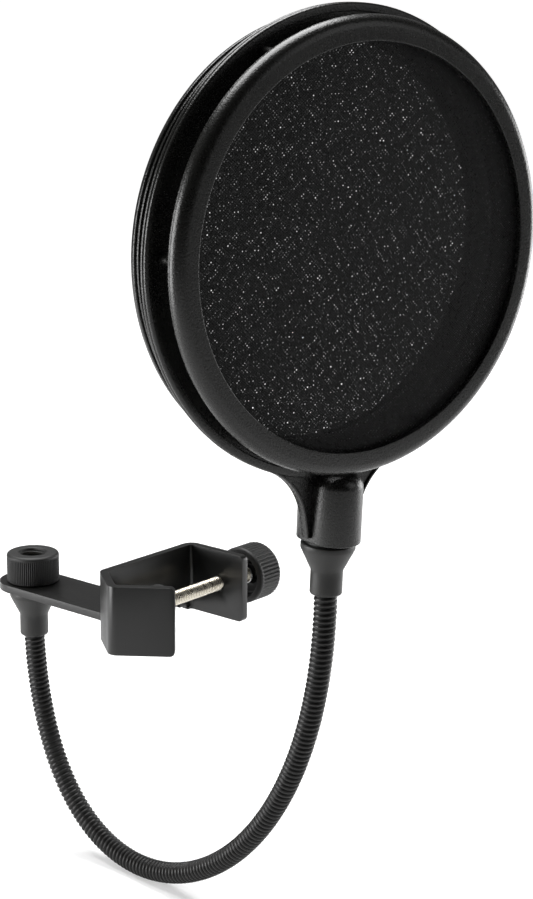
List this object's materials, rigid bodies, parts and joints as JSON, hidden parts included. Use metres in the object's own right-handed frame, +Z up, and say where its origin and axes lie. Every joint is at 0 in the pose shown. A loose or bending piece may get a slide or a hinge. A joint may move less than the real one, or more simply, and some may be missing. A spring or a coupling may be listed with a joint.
{
  "type": "pop filter",
  "caption": "Round double-screen pop filter on a hanging gooseneck arm, held by a C-clamp with a V jaw and a knurled screw knob.",
  "frame": {"origin": "axis of the upright tube that the clamp grips, at the mid height of the jaws", "axes": "+X along the clamp screw towards its knob, +Y along the arm towards the lock nut, +Z up along the gripped tube"},
  "size_m": [0.1619, 0.2197, 0.361],
  "materials": {
    "bracket_paint": "satin black powder coat",
    "head_plastic": "finely grained satin black",
    "ferrule_plastic": "smooth satin black",
    "knob_plastic": "satin black, knurled",
    "coil_black": "semi-gloss black winding",
    "nickel_steel": "warm nickel plate",
    "chrome_bush": "bright",
    "pad_rubber": "matte",
    "nylon_mesh": "fine stretched nylon knit"
  },
  "bodies": {
    "clamp": {"clamp_bracket": "bracket_paint"},
    "pad": {"screw_pad": "pad_rubber"},
    "spindle": {"clamp_screw": "nickel_steel", "knob_bush": "chrome_bush", "clamp_knob": "knob_plastic"},
    "washer": {"nut_washer": "nickel_steel"},
    "nut": {"lock_nut": "knob_plastic"},
    "neck_base": {"lower_stud": "nickel_steel", "lower_ferrule": "ferrule_plastic", "gooseneck_1": "coil_black"},
    "neck_2": {"gooseneck_2": "coil_black"},
    "neck_3": {"gooseneck_3": "coil_black"},
    "neck_4": {"gooseneck_4": "coil_black"},
    "neck_5": {"gooseneck_5": "coil_black"},
    "neck_6": {"gooseneck_6": "coil_black"},
    "neck_7": {"gooseneck_7": "coil_black"},
    "neck_top": {"gooseneck_8": "coil_black", "upper_ferrule": "ferrule_plastic", "upper_stud": "nickel_steel"},
    "head": {"centre_frame": "head_plastic", "socket_insert": "nickel_steel", "front_hoop": "head_plastic", "front_screen": "nylon_mesh", "front_retainer": "head_plastic", "front_peg_1": "head_plastic", "front_peg_2": "head_plastic", "front_peg_3": "head_plastic", "front_peg_4": "head_plastic", "front_peg_5": "head_plastic", "front_peg_6": "head_plastic", "rear_hoop": "head_plastic", "rear_screen": "nylon_mesh", "rear_retainer": "head_plastic", "rear_peg_1": "head_plastic", "rear_peg_2": "head_plastic", "rear_peg_3": "head_plastic", "rear_peg_4": "head_plastic", "rear_peg_5": "head_plastic", "rear_peg_6": "head_plastic"}
  },
  "joints": [
    {"name": "pad_slide", "type": "slide", "parent": "clamp", "child": "pad", "axis": [1, 0, 0], "range_m": [-0.0105, 0.0325]},
    {"name": "screw_turn", "type": "hinge", "parent": "pad", "child": "spindle", "pos_m": [0.0245, 0, 0], "axis": [1, 0, 0], "range_deg": [-3781, 11701]},
    {"name": "washer_lift", "type": "slide", "parent": "clamp", "child": "washer", "axis": [0, 0, 1], "range_m": [0, 0.006]},
    {"name": "nut_turn", "type": "hinge", "parent": "washer", "child": "nut", "pos_m": [0.0244, 0.0842, -0.0045], "axis": [0, 0, 1], "range_deg": [0, 1441]},
    {"name": "base_swivel", "type": "hinge", "parent": "clamp", "child": "neck_base", "pos_m": [0.0244, 0.0842, -0.0125], "axis": [0, 0, 1], "continuous": true},
    {"name": "neck_bend_1", "type": "hinge", "parent": "neck_base", "child": "neck_2", "pos_m": [0.02546, 0.08063, -0.06817], "axis": [0.9966, -0.074, 0.0376], "range_deg": [-18, 25]},
    {"name": "neck_bend_2", "type": "hinge", "parent": "neck_2", "child": "neck_3", "pos_m": [0.02536, 0.06226, -0.10529], "axis": [-0.0599, -0.7212, 0.6901], "range_deg": [-20, 20]},
    {"name": "neck_bend_3", "type": "hinge", "parent": "neck_3", "child": "neck_4", "pos_m": [0.02291, 0.02527, -0.12243], "axis": [0.9968, -0.08, 0.0001], "range_deg": [-18, 25]},
    {"name": "neck_bend_4", "type": "hinge", "parent": "neck_4", "child": "neck_5", "pos_m": [0.01928, -0.01468, -0.11231], "axis": [0.0391, 0.4704, 0.8816], "range_deg": [-20, 20]},
    {"name": "neck_bend_5", "type": "hinge", "parent": "neck_5", "child": "neck_6", "pos_m": [0.01587, -0.04666, -0.08581], "axis": [0.9953, -0.0958, 0.0149], "range_deg": [-18, 25]},
    {"name": "neck_bend_6", "type": "hinge", "parent": "neck_6", "child": "neck_7", "pos_m": [0.01312, -0.06884, -0.05053], "axis": [0.0751, 0.9043, 0.4201], "range_deg": [-20, 20]},
    {"name": "neck_bend_7", "type": "hinge", "parent": "neck_7", "child": "neck_top", "pos_m": [0.01117, -0.08126, -0.01067], "axis": [0.996, -0.0868, 0.0205], "range_deg": [-18, 25]},
    {"name": "head_swivel", "type": "hinge", "parent": "neck_top", "child": "head", "pos_m": [0.0106, -0.0852, 0.0435], "axis": [0.0174, -0.024, 0.9996], "continuous": true}
  ],
  "couplings": [
    {"joint": "screw_turn", "follows": "pad_slide", "rad_per_m": 6283.2},
    {"joint": "nut_turn", "follows": "washer_lift", "rad_per_m": 4188.8}
  ]
}
